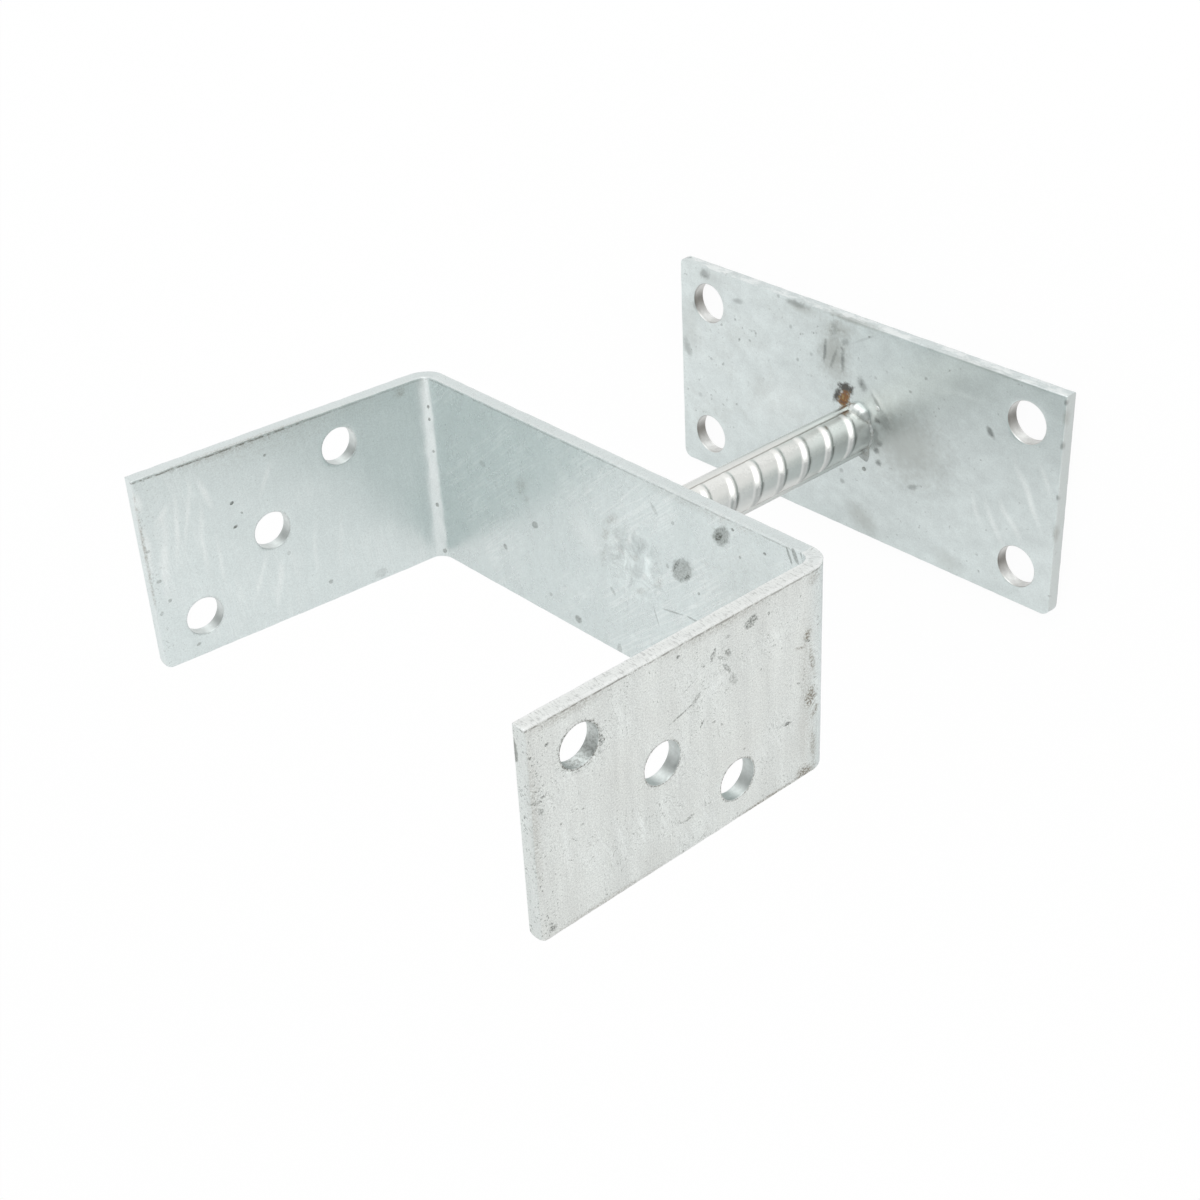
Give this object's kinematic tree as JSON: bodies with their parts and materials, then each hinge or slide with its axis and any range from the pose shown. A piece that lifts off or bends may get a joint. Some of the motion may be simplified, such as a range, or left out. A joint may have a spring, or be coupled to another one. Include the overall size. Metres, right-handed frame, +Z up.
{
  "type": "fixed post base",
  "caption": "Galvanised post base: a folded U saddle with bolt holes on a ribbed bar stem, welded to a drilled base plate, to stand a timber post clear of concrete.",
  "frame": {"origin": "middle of the base plate's underside, on the stem's axis", "axes": "+Z up the stem to the saddle's open side, X from arm to arm along the base plate, Y across the strip"},
  "size_m": [0.1643, 0.07, 0.2],
  "materials": {
    "zinc_strip": "hot-dip galvanised flat steel, pale grey with fine runs, specks and scuffs",
    "zinc_plate": "hot-dip galvanised flat steel, mottled grey with scorch marks round the weld",
    "zinc_bar": "hot-dip galvanised ribbed bar, smooth and glossy",
    "zinc_weld": "zinc-coated weld bead, shiny and lumpy, with a rust spot at its toe"
  },
  "bodies": {
    "root": {"u_saddle": "zinc_strip", "base_plate": "zinc_plate", "ribbed_stem": "zinc_bar", "base_weld": "zinc_weld", "saddle_weld": "zinc_weld"}
  },
  "joints": []
}
